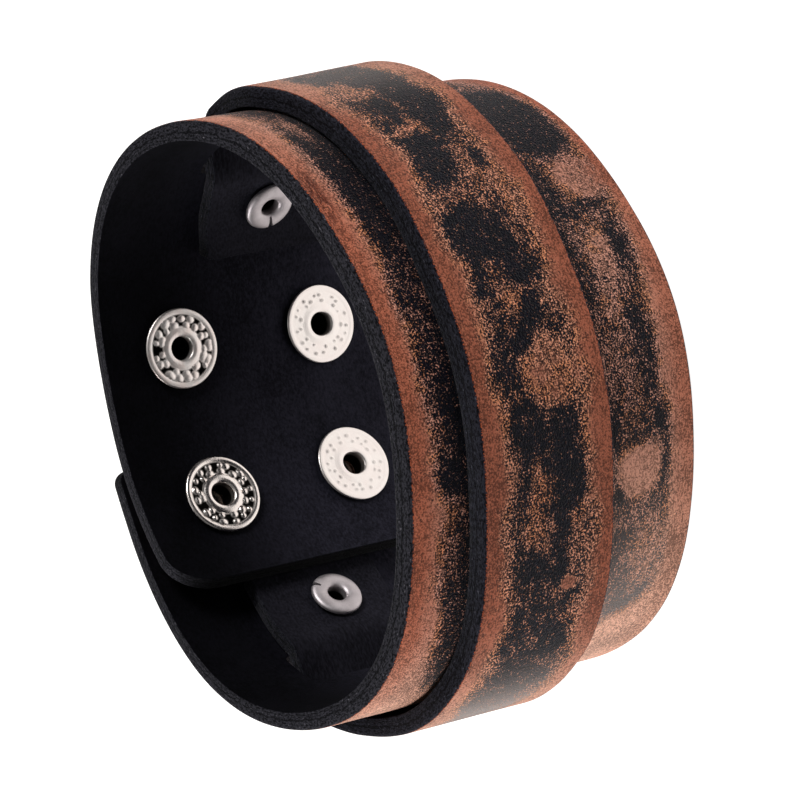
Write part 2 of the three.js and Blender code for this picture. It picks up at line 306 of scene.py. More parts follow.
class Wire:
    """A socket in a material's node tree. Arithmetic on it adds Math nodes."""

    def __init__(self, tree, socket=None):
        self.tree, self.socket = tree, socket

    def node(self, kind, settings=None, sockets=None, out=0):
        """Adds a node. Its settings are set first, then its sockets' values or links."""
        made = self.tree.nodes.new("ShaderNode" + kind)
        for key, value in (settings or {}).items():
            setattr(made, key, value)
        for key, value in (sockets or {}).items():
            if isinstance(value, Wire):
                self.tree.links.new(value.socket, made.inputs[key])
            else:
                made.inputs[key].default_value = value
        return Wire(self.tree, made.outputs[out])

    def attribute(self, name, out="Fac"):
        return self.node("Attribute", {"attribute_name": name}, out=out)

    def math(self, operation, *values):
        return self.node("Math", {"operation": operation}, dict(enumerate(values)))

    def __add__(self, other):
        return self.math("ADD", self, other)

    def __sub__(self, other):
        return self.math("SUBTRACT", self, other)

    def __rsub__(self, other):
        return self.math("SUBTRACT", other, self)

    def __mul__(self, other):
        return self.math("MULTIPLY", self, other)

    __radd__, __rmul__ = __add__, __mul__

    def step(self, low, high):
        """0 below low and 1 above high, with a smooth rise."""
        sockets = {0: self, 1: low, 2: high, 3: 0.0, 4: 1.0}
        return self.node("MapRange", {"interpolation_type": "SMOOTHSTEP"}, sockets)

    def blend(self, first, second):
        """The first colour where this value is 0 and the second where it is 1."""
        return self.node("Mix", {"data_type": "RGBA"}, {0: self, 6: first, 7: second}, out=2)

    def absolute(self):
        return self.math("ABSOLUTE", self)

    def scaled(self, *sizes):
        return self.node("VectorMath", {"operation": "MULTIPLY"}, {0: self, 1: sizes})

    def shaded(self, level):
        return self.scaled(level, level, level)

    def mottle(self, scale, detail=2.0, roughness=0.5):
        """Noise over this vector, centred on 0."""
        sockets = {0: self, "Scale": scale, "Detail": detail, "Roughness": roughness}
        return self.node("TexNoise", None, sockets) - 0.5

    def pebbles(self, scale, out="Distance"):
        """Distance from the nearest of many scattered points, or that point's own random colour."""
        return self.node("TexVoronoi", {"voronoi_dimensions": "2D"}, {0: self, "Scale": scale}, out)

    def part(self, out):
        return self.node("SeparateXYZ", None, {0: self}, out)


def finish(name, shade):
    """A material whose surface the shade function wires up."""
    material = bpy.data.materials.new(name)
    material.use_nodes = True
    tree = material.node_tree
    tree.nodes.clear()
    result = shade(Wire(tree))
    out = tree.nodes.new("ShaderNodeOutputMaterial")
    tree.links.new(result.socket, out.inputs["Surface"])
    return material


def surface(start, colour, rough, relief, others):
    """A finish with relief in mm and a few more sockets of its own."""
    bump = start.node("Bump", None, {"Strength": 1.0, "Distance": MM, "Height": relief}, out="Normal")
    sockets = {"Base Color": colour, "Roughness": rough, "Normal": bump, **others}
    return start.node("BsdfPrincipled", None, sockets)


# Colours of painted sheen, of painted shade in folds and pits, and of specks that are partly painted sheen.
SHEEN_PALE, WARM_RUB, PIT_BROWN_AND_SHADE = srgb(220, 176, 152), srgb(206, 136, 98), srgb(58, 32, 25)
FOLD_SHADE_RED, LIP_RED, EDGE_DYE = srgb(84, 32, 22), srgb(186, 92, 54), srgb(8, 8, 11)
DYE, RUBBED_DYE, SCUFF_AND_SHEEN, SHEEN_GREY = srgb(3, 4, 13), srgb(12, 13, 27), srgb(104, 76, 72), srgb(168, 156, 150)


def rubbed_leather(red, copper, pale, raw, fibres, sheen_grey_share):
    """Copper grain rubbed back through black, with raw fibrous edges dyed black."""

    def shade(start):
        hide = start.attribute("hide", "Vector")
        charts = ("ink", "rim", "end", "painted_sheen", "crease")
        ink, rim, end, painted_sheen, crease = (start.attribute(name) for name in charts)
        depth = hide.part("Z")

        # Noises, from the finest grit to a slow drift of tone, and the pebbles of the grain.
        grit = hide.mottle(4.2, 2.0, 0.6)
        dust = hide.mottle(1.3, 6.0, 0.8)
        blotch = hide.mottle(0.6, 3.0, 0.6)
        drift = hide.mottle(0.15, 2.0, 0.5)
        scratch = hide.scaled(0.5, 2.6, 1).mottle(1.5, 2.0, 0.6)
        wander = hide.node("TexNoise", None, {0: hide, "Scale": 1.3, "Detail": 2.0}, out="Color")
        wandered = hide.node("VectorMath", {"operation": "ADD"}, {0: hide, 1: wander.scaled(0.7, 0.5, 0)})
        pebble = wandered.scaled(0.9, 1.0, 1).pebbles(PEBBLES)
        lot = wandered.scaled(0.9, 1.0, 1).pebbles(PEBBLES, "Color").part("X")
        crown = 1 - pebble.step(0.08, 0.6)

        # Where the grain face is, where black is left on it, and where it is rubbed and not smooth.
        grain_face = (rim + 0.25 * grit + 0.1 * blotch).step(GRAIN_FROM - 0.05, GRAIN_FROM + 0.05)
        grain_face = grain_face * (depth + 0.6).step(0.0, 0.1)
        black = ink + 0.45 * lot + 0.4 * pebble + 2.5 * dust + 3.7 * grit + 1.7 * blotch + 0.6 * scratch
        black = (black - 0.83).step(-0.24, 0.24)
        field = (ink + 1.6 * blotch + 1.4 * dust).step(-0.6, 0.3)

        # The smooth margin: red at the rim, copper further in, with a few folds painted darker red as
        # painted shade.
        margin = (rim + 2.5 * blotch).step(1.2, 5.0).blend(red, copper)
        # Painted sheen pales the margin towards the ends of the front.
        margin = (0.8 * painted_sheen).blend(margin, SHEEN_PALE)
        # Mottled at random, with painted shade darkening the gaps between the pebbles.
        tone_and_pebble_shade = 0.32 + 0.5 * crown - 2.6 * grit - 3.2 * dust + 1.4 * drift - 0.8 * scratch
        margin = tone_and_pebble_shade.step(0.0, 1.0).blend(margin.shaded(0.42), margin.shaded(1.36))
        folds = hide.scaled(0.3, 1.5, 1).mottle(1.3, 3.0, 0.6).absolute()
        folds = crease * (1 - folds.step(0.01, 0.07))
        # Painted shade: the folds are painted a darker red.
        margin = (0.85 * folds).blend(margin, FOLD_SHADE_RED)

        # The rubbed field, where each pebble has a tone of its own, partly painted highlight, with pits
        # partly painted shade.
        warm = (blotch + drift).step(-0.05, 0.15).blend(pale, WARM_RUB)
        # Each pebble is lighter or darker at random, the lighter ones partly painted highlights.
        warm = (0.8 * lot - 2.5 * grit).step(0.1, 0.9).blend(warm.shaded(0.62), warm.shaded(1.4))
        rubbed = 0.3 * crown + 0.3 * lot - 3.6 * grit - 2.2 * dust
        # Dark brown pits between the pebbles, partly painted shade.
        rubbed = rubbed.step(0.0, 0.75).blend(PIT_BROWN_AND_SHADE, warm)
        # Painted sheen pales the field towards the ends of the front.
        rubbed = (0.6 * painted_sheen).blend(rubbed, SHEEN_PALE)
        tan = field.blend(margin, rubbed)

        # The black, scuffed in specks, and greyed by painted sheen towards the ends of the front.
        sooty = (grit * 2 + lot).step(0.2, 1.3).blend(DYE, RUBBED_DYE)
        # Pale specks in the black: scuffs, and partly painted sheen on the grain's bumps.
        sooty = (0.3 * lot - 2.6 * grit - 2.2 * dust).step(0.5, 0.85).blend(sooty, SCUFF_AND_SHEEN)
        sooty = (sheen_grey_share * painted_sheen * painted_sheen).blend(sooty, SHEEN_GREY)
        face = black.blend(tan, sooty)

        # The cut edge: dyed fibres with two scored lines, painted shade at the ends, and a bare lip.
        fibre = hide.scaled(1.2, 3.6, 3.6).mottle(1.5, 3.0, 0.7)
        pit = hide.scaled(1.0, 2.0, 2.0).mottle(2.6, 2.0, 0.6)
        edge = (fibre * 2.6 + pit * 2.4 + 0.55).step(0.1, 0.9).blend(EDGE_DYE, raw)
        edge = (pit * 2.5 + fibre).step(0.48, 0.68).blend(edge, fibres)
        groove = 1 - (depth + 0.9 * blotch + 1.25).absolute().step(0.04, 0.18)
        cut_line = 1 - (depth + 0.6 * blotch + 1.85).absolute().step(0.02, 0.12)
        edge = (groove * (dust + 0.5).step(0.3, 0.55)).blend(edge, EDGE_DYE)
        edge = (cut_line * (dust + 0.5).step(0.4, 0.6)).blend(edge, EDGE_DYE)
        # Painted shade darkens the cut edge towards the leather's ends.
        edge = end.step(0.6, 4.0).blend(edge.shaded(0.35), edge)
        arris = (rim + 0.25 * grit - GRAIN_FROM + 0.02).absolute()
        lip = (1 - arris.step(0.03, 0.11)) * (grit * 4 + 0.6).step(0.4, 1.0)
        colour = (0.7 * lip).blend(grain_face.blend(edge, face), LIP_RED)

        relief = grain_face * ((0.08 * field + 0.05) * crown - (0.16 + 0.16 * field) * (grit + dust))
        relief = relief + (1 - grain_face) * 0.22 * fibre - 0.25 * folds
        rough = 0.6 + 0.3 * (1 - grain_face) - 0.04 * black + 0.3 * grit
        sheen = {"Specular IOR Level": 0.07, "Sheen Weight": 0.06, "Sheen Roughness": 0.2}
        return surface(start, colour, rough, relief, sheen)

    return shade


def black_flesh(dark, bright):
    """The suede-like flesh side, dyed right through, with painted shade darkening it towards the band's
    upper rim.
    """

    def shade(start):
        hide = start.attribute("hide", "Vector")
        nap = hide.scaled(0.6, 1.0, 1.0).mottle(3.0, 3.0, 0.7)
        cloud = hide.mottle(0.12, 3.0, 0.6)
        # Painted shade: the flesh darkens towards the band's upper rim.
        painted_shade = (hide.part("Y") + 8 * cloud).step(10.0, 37.0)
        colour = (nap * 1.6 + 0.5 + cloud).step(0.0, 1.0).blend(dark, bright)
        colour = painted_shade.blend(colour, colour.shaded(0.13))
        return surface(start, colour, 0.75 + 0.2 * nap, 0.07 * nap, {"Specular IOR Level": 0.03})

    return shade


def line_flesh(mesh, leather, material):
    """Gives the faces of the flesh side their own finish."""
    mesh.materials.append(material)
    hide = np.zeros(len(mesh.vertices) * 3, np.float32)
    mesh.attributes["hide"].data.foreach_get("vector", hide)
    depth = hide[2::3]
    for face in mesh.polygons:
        if depth[list(face.vertices)].mean() < FLESH_EASE / 2 - leather:
            face.material_index = 1


# How much black is left: -0.6 clean copper, 0.1 bare grain, 0.5 half and half, 1 black with a few
# copper specks, 1.7 solid.
BLACK_TOP = (  # at, height where the black ends below the upper rim
    (-170, 33.5), (-158, 34.3), (-150, 35.4), (-140, 36.3), (-131, 36.4), (-125, 37.8), (-114, 37.7),
    (-109, 36.8), (-104, 38.1), (-90, 38.2), (-80, 38.7), (-73, 38.2), (-67, 38.7), (-58, 37.9),
    (-30, 37.7), (-15, 37.4), (5, 36.8),
)
BLACK_FOOT = (  # at, height where it begins above the lower rim
    (-150, 5.5), (-134, 4.0), (-114, 3.9), (-100, 3.6), (-92, 4.4), (-80, 3.9), (-70, 3.5),
    (-63, 2.7), (-56, 2.1), (-45, 1.9), (-24, 1.7), (-14, 2.4), (-4, 3.6),
)
BAND_INK = (
    # at, height, half length, half width, tilt, ink
    (-41, 35.6, 8.5, 1.7, 0, 0.8),
    (-103, 36.0, 1.4, 2.0, 0, 0.5),
    (-118, 36.4, 4.1, 1.3, 0, -0.3),
    (-109.5, 35.8, 1.5, 1.8, 0, -0.45),
    (-94, 36.5, 3.0, 0.9, 0, -0.25),
    (-73, 36.9, 2.2, 0.9, 0, -0.2),
    (-147, 35.4, 3.5, 1.1, 0, -0.3),
    (-20, 34.7, 3.8, 0.7, 0, -0.8),
    (-14, 36.2, 3.1, 1.6, 0, -0.4),
    (-160, 36.0, 6.0, 6.0, 0, -1.2),
    (-127.5, 11.4, 4.3, 0.8, 0, 0.35),
    (-136, 9.8, 3.2, 1.2, 0, 0.25),
    (-137.2, 7.0, 3.0, 0.35, -55, 0.9),
    (-130, 4.1, 3.0, 0.3, 0, 0.6),
    (-152, 6.0, 6.0, 8.0, 0, -1.8),
    (-145, 4.0, 4.3, 3.2, 0, -1.0),
    (-126, 6.8, 4.8, 2.3, 0, -0.35),
    (-123.3, 9.2, 1.0, 1.4, 0, 0.25),
    (-109.4, 8.6, 3.1, 3.2, 0, -1.5),
    (-114.6, 11.8, 1.2, 0.7, 0, 0.7),
    (-100.2, 12.3, 3.3, 0.7, 0, 0.6),
    (-100, 8.4, 2.5, 3.0, 0, 0.2),
    (-109, 4.5, 2.9, 0.4, 0, 0.8),
    (-100.2, 5.0, 1.8, 1.2, 0, 0.6),
    (-117, 5.8, 1.2, 1.4, 0, 0.25),
    (-86, 6.4, 6.1, 1.6, 0, 0.38),
    (-79, 6.8, 1.6, 1.0, 0, 0.35),
    (-92, 4.4, 1.3, 0.5, 0, -0.4),
    (-67, 12.1, 7.1, 0.9, 0, 0.35),
    (-48, 10.9, 4.9, 1.3, 0, 0.5),
    (-54, 7.3, 0.9, 4.2, 14, 0.42),
    (-65.4, 8.0, 3.7, 1.6, 0, -0.65),
    (-75, 9.5, 2.2, 1.4, 0, -0.3),
    (-63.2, 5.2, 1.7, 1.1, 0, 0.5),
    (-66, 4.6, 6.0, 1.6, 0, 0.25),
    (-46.5, 5.0, 3.6, 3.6, 0, -0.85),
    (-49.2, 8.3, 1.0, 1.3, 0, 0.3),
    (-27, 6.4, 7.6, 6.0, 0, 1.2),
    (-92, 33, 7.0, 3.4, 0, 0.3),
    (-32, 33, 10.0, 5.0, 0, 0.4),
)


def at_the_back(turned):
    """1 where the band runs behind the loop and the chart of its ink stops."""
    return eased(turned, 0, 16) + eased(-turned, 164, 178)


def band_ink(angle, height, across):
    turned = np.where(angle > 180, angle - 360, angle)
    tops, feet = np.array(BLACK_TOP), np.array(BLACK_FOOT)
    top = np.interp(turned, tops[:, 0], tops[:, 1])
    foot = np.interp(turned, feet[:, 0], feet[:, 1])
    inside = (1 - eased(height, top - 1.5, top + 1.7)) * eased(height, foot - 1.5, foot + 1.5)
    turn, rise = strayed(angle, across, 0.6 * (height < 20))
    level = np.where(height > 24, 0.95, 0.58) + patches(turned + turn, height + rise, BAND_INK)
    level = level + (rubbed_at_random(angle, across) - level) * at_the_back(turned)
    return inside * np.minimum(level, 1.25) - 0.7 * (1 - inside)


def band_painted_sheen(angle, height):
    """How much painted sheen pales the grain towards both ends of the front, from 0 to 1."""
    turned = np.where(angle > 180, angle - 360, angle)
    low = 0.1 * eased(-turned, 35, 60) + 0.55 * eased(-turned, 92, 148)
    worn = np.where(height < 20, low, 0.58 * eased(-turned, 130, 166) + 0.22 * eased(turned, -44, -14))
    return worn * (1 - at_the_back(turned))


BAND_CREASES = ((320, 40.3, 5.5, 0.8, 0, 0.9),)  # one short stretch beside the upper rim


def band_crease(angle, height):
    return patches(angle, height, BAND_CREASES)


band_plan = {
    "first": arc(OUTER_END),
    "last": arc(INNER_END),
    "width": BAND_WIDTH,
    "corners": END_CORNERS,
    "leather": BAND_LEATHER,
}
SLOTS, SLOT_HEIGHTS = (-200, 26), (21.29, 19.6)
SLOT_LENGTH, SLOT_CORNER, SLOT_ROOM = 7.3, 1.0, 0.5
STRAP_WIDTH = 18.9
SNAPS = (
    # number, at, height, fastened
    (1, 433.2, 30.5, False),
    (2, 433.6, 8.3, False),
    (3, 471.7, 30.0, True),
    (4, 471.0, 8.8, True),
)
RIVETS = (
    # at, height, the slit's turn and its inner end
    (39.8, 18.6, -15, 1.5),
    (-215.6, 19.9, 135, 2.4),
)
SNAP_HOLE, RIVET_HOLE = 2.3, 2.1
band_holes = []
for at, height in zip(SLOTS, SLOT_HEIGHTS):
    place = arc(at + 360)
    band_holes.append(slot_hole(place, height, SLOT_LENGTH, STRAP_WIDTH + SLOT_ROOM, SLOT_CORNER))
for at, height, *_ in RIVETS:
    band_holes.append(round_hole(arc(at + 360), height, RIVET_HOLE))
for _, at, height, fastened in SNAPS:
    band_holes.append(round_hole(arc(at), height, SNAP_HOLE))
    if fastened:
        band_holes.append(round_hole(arc(at - 360), height, SNAP_HOLE))
base_band = bend(
    punch(cut_blank(**band_plan, step=0.62), band_holes),
    "base_band_leather",
    band_plan,
    relief=0.05,
    depth_at=band_depth,
    leather_at=band_leather,
    ink_at=band_ink,
    painted_sheen_at=band_painted_sheen,
    crease_at=band_crease,
)
base_band.data.materials.append(finish("rubbed_band_leather", rubbed_leather(
    red=srgb(154, 88, 66),
    copper=srgb(165, 113, 95),
    pale=srgb(204, 146, 126),
    raw=srgb(50, 49, 55),
    fibres=srgb(118, 114, 120),
    sheen_grey_share=1.2,
)))
band_flesh = finish("band_flesh", black_flesh(srgb(19, 19, 25), srgb(49, 48, 59)))
line_flesh(base_band.data, BAND_LEATHER, band_flesh)
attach(base_band, "root")
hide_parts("base_band")

# ---- Outer strap ----
# A narrower strap of the same hide, 2.4 to 2.9 mm thick, laid round the outside of the band.
# Both its ends are bent down through the slots and lie flat against the inside of the band.
STRAP_LEATHER, STRAP_FRONT = 2.4, 0.5
FIT_GAP = 0.35  # left between pieces that touch
STRAP_ENDS = (-227.5, 53)
STRAP_CORNERS = (0.8, 0.8)
BEND_LENGTH = 7
STRAP_ROUTE = np.array((
    # at, height, stand-off, flare
    (-228, 20.7, 0.8, 0),
    (-205, 21.2, 0.8, 0),
    (-180, 21.7, 0.7, 0),
    (-145, 24.0, 0.8, 0),
    (-105, 24.6, 0.35, 0),
    (-70, 24.8, 0.35, 0),
    (-42, 24.1, 0.7, 0.2),
    (-5, 23.4, 0.4, 1),
    (26, 19.6, 0.5, 0),
    (40, 18.2, 0.5, 0),
    (53, 17.3, 0.5, 0),
))
HEIGHT, STAND_OFF, STRAP_FLARE = 1, 2, 3


def along_route(angle, column):
    after = np.clip(np.searchsorted(STRAP_ROUTE[:, 0], angle), 1, len(STRAP_ROUTE) - 1)
    low, high = STRAP_ROUTE[after - 1], STRAP_ROUTE[after]
    share = np.clip((angle - low[..., 0]) / (high[..., 0] - low[..., 0]), 0, 1)
    share = share * share * (3 - 2 * share)
    return low[..., column] + (high[..., column] - low[..., column]) * share


def strap_leather(angle):
    return STRAP_LEATHER + STRAP_FRONT * front_share(angle)


def strap_depth(angle):
    outside = along_route(angle, STAND_OFF) + strap_leather(angle) / 2
    inside = -band_leather(angle) - FIT_GAP - strap_leather(angle) / 2
    reach = math.degrees(BEND_LENGTH / 2 / LOOP_RADIUS)
    came_out, gone_in = (eased(angle, slot - reach, slot + reach) for slot in SLOTS)
    return inside + (outside - inside) * (came_out - gone_in)


STRAP_INK = (
    # at, height, half length, half width, tilt, ink
    (-102.5, 21.9, 5.8, 2.3, 0, 1.1),
    (-96, 27.4, 2.8, 3.8, 0, 0.5),
    (-103, 29.6, 4.2, 1.7, 0, 0.3),
    (-122, 27.2, 1.6, 2.3, 0, 0.55),
    (-131.4, 28.2, 1.2, 1.3, 0, 0.5),
    (-135, 28.9, 2.8, 1.0, 0, 0.35),
    (-129.6, 22.7, 2.6, 0.4, -60, 0.9),
    (-136.5, 21.0, 2.1, 2.6, 0, 0.6),
    (-122.2, 22.9, 1.1, 1.0, 0, 0.8),
    (-115.2, 22.9, 3.0, 1.0, 0, 0.3),
    (-118.8, 28.4, 0.6, 1.3, 0, 0.4),
    (-113.5, 27.5, 2.2, 1.1, 0, -0.5),
    (-106, 26.0, 2.7, 1.0, -25, -0.4),
    (-116, 25.0, 2.2, 0.8, 0, -0.4),
    (-125.4, 22.0, 2.0, 0.7, -65, -0.5),
    (-123.8, 20.6, 0.75, 0.95, 0, -2.8),
    (-131.7, 20.8, 1.7, 1.3, 0, -0.5),
    (-116.5, 20.4, 3.0, 1.1, 0, -0.35),
    (-152, 25.0, 7.0, 5.0, 0, 0.35),
    (-86.3, 22.8, 4.0, 4.2, 0, -0.75),
    (-86, 26.5, 2.2, 1.5, 0, -0.25),
    (-82, 29.4, 5.4, 1.4, 0, 0.3),
    (-77.5, 24.8, 4.1, 1.4, -47, 0.8),
    (-72, 25.9, 1.2, 1.4, 0, -0.5),
    (-67, 29.1, 1.6, 1.4, 0, 0.6),
    (-59.3, 26.6, 3.4, 3.7, 0, 1.0),
    (-65.5, 24.0, 2.9, 0.9, 0, 0.5),
    (-66.3, 21.1, 1.0, 2.6, 0, 0.4),
    (-60, 22.3, 3.2, 0.8, 0, 0.5),
    (-71.8, 20.4, 2.4, 1.3, 0, -0.15),
    (-51.2, 25.4, 1.8, 3.6, 0, -0.1),
    (-41, 26.3, 4.2, 2.8, 0, 0.65),
    (-37.3, 23.2, 0.8, 1.8, 0, 0.6),
    (-35.8, 28.8, 1.2, 1.0, 0, 0.5),
    (-44, 22.1, 3.2, 1.3, 0, -0.35),
    (-43.2, 19.5, 1.9, 0.9, 0, 0.5),
    (-50, 19.6, 3.2, 1.2, 0, -0.5),
    (-32.5, 26.0, 0.9, 2.6, 0, -0.6),
    (-25.5, 28.9, 3.4, 1.0, 0, 0.2),
    (-26, 26.2, 2.0, 1.4, 0, 0.6),
    (-30, 24.0, 0.8, 0.9, 0, -0.3),
    (-18, 26.7, 2.9, 1.6, -30, -0.5),
    (-18, 20.9, 10.0, 2.7, 0, 1.1),
    (-12, 23.6, 6.0, 1.6, 0, 0.4),
    (-7, 27.0, 3.1, 3.0, 0, 0.8),
    (-133, 24.5, 7.5, 4.5, 0, 0.2),
    (-115, 24.5, 6.0, 5.0, 0, 0.12),
)
EDGE_MARGIN = (1.2, 5.4)


def at_its_ends(angle):
    """1 where the strap goes down through its slots and the chart of its ink stops."""
    return eased(angle, 0, 14) + eased(-angle, 158, 176)


def strap_ink(angle, height, across):
    stray = 0.6 * np.sin(arc(angle) / 3.1) + 0.4 * np.sin(arc(angle) / 1.3 + across / 3)
    margin = eased(np.minimum(across, STRAP_WIDTH - across) + stray, *EDGE_MARGIN)
    turn, rise = strayed(angle, across, 2)
    level = 0.74 + patches(angle + turn, height + rise, STRAP_INK)
    level = level + (rubbed_at_random(angle, across) - level) * at_its_ends(angle)
    return -0.7 * (1 - margin) + margin * np.minimum(level, 1.3)


# Painted sheen that pales the strap's grain towards both ends of its front, from 0 to 1.
def strap_painted_sheen(angle, height):
    return (0.55 * eased(-angle, 130, 162) + 0.3 * eased(angle, -32, -8)) * (1 - at_its_ends(angle))


strap_plan = {
    "first": arc(STRAP_ENDS[0]),
    "last": arc(STRAP_ENDS[1]),
    "width": STRAP_WIDTH,
    "corners": STRAP_CORNERS,
    "leather": STRAP_LEATHER,
}


def strap_low(angle):
    return along_route(angle, HEIGHT) - STRAP_WIDTH / 2


strap_holes = []
for at, height, *_ in RIVETS:
    low = float(strap_low(np.array(float(at))))
    strap_holes.append(round_hole(arc(at), height - low, RIVET_HOLE))
outer_strap = bend(
    punch(cut_blank(**strap_plan, step=0.5), strap_holes),
    "outer_strap_leather",
    strap_plan,
    relief=0.06,
    depth_at=strap_depth,
    leather_at=strap_leather,
    ink_at=strap_ink,
    painted_sheen_at=strap_painted_sheen,
    low_at=strap_low,
    spread_at=lambda angle: along_route(angle, STRAP_FLARE),
)
outer_strap.data.materials.append(finish("rubbed_strap_leather", rubbed_leather(
    red=srgb(138, 79, 59),
    copper=srgb(143, 90, 72),
    pale=srgb(210, 146, 117),
    raw=srgb(41, 41, 49),
    fibres=srgb(92, 92, 103),
    sheen_grey_share=2.6,
)))
strap_flesh = finish("strap_flesh", black_flesh(srgb(14, 14, 18), srgb(40, 39, 47)))
line_flesh(outer_strap.data, STRAP_LEATHER, strap_flesh)
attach(outer_strap, "root")
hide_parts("outer_strap")

# ---- Tubular rivets ----
# Nickel-plated steel tubes that hold the strap's ends inside the band. Each is set with a domed
# head outside the band, and its split end is rolled over into a ring on the flesh side.
RIVET = {"ring": 3.5, "crest": 0.68, "tube": 1.75, "bore": 1.25, "closed_at": 3.6, "head": 4.0, "seat": 0.52}
SLIT = {"narrow": 0.25, "wide": 0.85, "reach": 3.8, "from": -2, "to": 0.08}
ROLL_STEPS = 20
METAL_SHARP = 38


def wall_frame(angle, height, offset):
    """A frame in the band's wall: x along it, y up it and z out of it, with offset in mm along z."""

    def spot(turn, rise):
        at = np.array([angle + turn], float)
        return Vector(settle(outline(at, band_depth(at)), np.array([height + rise], float))[0])

    along = (spot(2, 0) - spot(-2, 0)).normalized()
    out = along.cross(spot(0, 2) - spot(0, -2)).normalized()
    place = (spot(0, 0) + out * offset) * MM
    turned = Matrix((along, out.cross(along), out)).transposed().to_4x4()
    return Matrix.Translation(place) @ turned @ Matrix.Scale(MM, 4)


def rounded(profile, radius, steps=4):
    """A closed turning profile of (radius, height) points with its corners rounded."""
    made = []
    for k, point in enumerate(profile):
        here, before, after = (Vector(p) for p in (point, profile[k - 1], profile[(k + 1) % len(profile)]))
        if here.x < 1e-6:
            made.append(here)
            continue
        start = here + (before - here).normalized() * min(radius, (before - here).length * 0.45)
        end = here + (after - here).normalized() * min(radius, (after - here).length * 0.45)
        for t in (j / steps for j in range(steps + 1)):
            made.append(start * (1 - t) ** 2 + here * 2 * t * (1 - t) + end * t * t)
    return [(p.x, p.y) for p in made]


def plain(radius, turn, depth=0):
    """Neither relief nor tarnish nor painted shade."""
    return 0 * radius


def turned_mesh(profile, sides=96, raised=plain, tarnish_and_shade=plain):
    """A closed profile turned round z. raised(radius, turn) lifts its face towards -z."""
    rings = np.array(profile)
    turns = np.arange(sides) * math.tau / sides
    radius, height = rings[:, :1], rings[:, 1:] * np.ones(sides)
    height = height - raised(radius, turns[None, :]) * (height < 0)
    points = np.stack([radius * np.cos(turns), radius * np.sin(turns), height], -1).reshape(-1, 3)
    faces = []
    count = len(rings)
    for ring in range(count):
        after = (ring + 1) % count
        if rings[ring, 0] < 1e-6 and rings[after, 0] < 1e-6:
            continue
        here, there = ring * sides, after * sides
        for side in range(sides):
            other = (side + 1) % sides
            faces.append((here + side, here + other, there + other, there + side))
    mesh = bpy.data.meshes.new("turned")
    mesh.from_pydata(points.tolist(), [], faces)
    tidy = bmesh.new()
    tidy.from_mesh(mesh)
    bmesh.ops.remove_doubles(tidy, verts=tidy.verts, dist=1e-5)
    bmesh.ops.dissolve_degenerate(tidy, edges=tidy.edges, dist=1e-6)
    bmesh.ops.recalc_face_normals(tidy, faces=tidy.faces)
    tidy.to_mesh(mesh)
    tidy.free()
    x, y, z = points_of(mesh).T
    chart(mesh, "tarnish_and_shade", tarnish_and_shade(np.hypot(x, y), np.arctan2(y, x), z))
    return mesh


def tube_shade(bore, closed_at):
    """Painted shade inside a tube, up to its closed end."""
    return lambda radius, turn, depth: (radius < bore + 0.05) * (depth < closed_at) * eased(depth, -0.2, 0.6)


def slit_cutter(turned, inner):
    """A wedge across the rolled ring, narrow towards the bore."""
    narrow, wide, reach = SLIT["narrow"] / 2, SLIT["wide"] / 2, SLIT["reach"]
    turn = Matrix.Rotation(math.radians(turned), 2)
    corners = [turn @ Vector(p) for p in ((inner, -narrow), (reach, -wide), (reach, wide), (inner, narrow))]
    mesh = bpy.data.meshes.new("slit")
    mesh.from_pydata([(p.x, p.y, z) for z in (SLIT["from"], SLIT["to"]) for p in corners], [],
                     [(3, 2, 1, 0), (4, 5, 6, 7), (0, 1, 5, 4), (1, 2, 6, 5), (2, 3, 7, 6), (3, 0, 4, 7)])
    return mesh


def set_piece(name, mesh, frame_matrix, metal):
    """Sets a turned mesh in the leather as a piece of its own."""
    mesh.name = name
    mesh.transform(frame_matrix)
    smooth(mesh, METAL_SHARP)
    mesh.materials.append(metal)
    return place_object(name, mesh)


def plated_steel(dullness, dark, bright):
    """Warm nickel plate with faint scuffs and a duller bloom."""

    def shade(start):
        place = start.node("TexCoord", out="Object").scaled(1000, 1000, 1000)
        bloom = place.mottle(0.5, 3.0, 0.6)
        scuff = place.scaled(1, 1, 3).mottle(3.0, 3.0, 0.7)
        tarnish_and_shade = start.attribute("tarnish_and_shade")
        colour = (bloom * 2 + scuff + 0.5).step(0.0, 1.0).blend(dark, bright)
        # Tarnish on the knurling and painted shade inside the tubes, both near black.
        colour = tarnish_and_shade.blend(colour, srgb(14, 12, 11))
        rough = dullness + 0.2 * bloom + 0.2 * scuff + 0.4 * tarnish_and_shade
        return surface(start, colour, rough, 0.01 * scuff, {"Metallic": 1.0})

    return shade


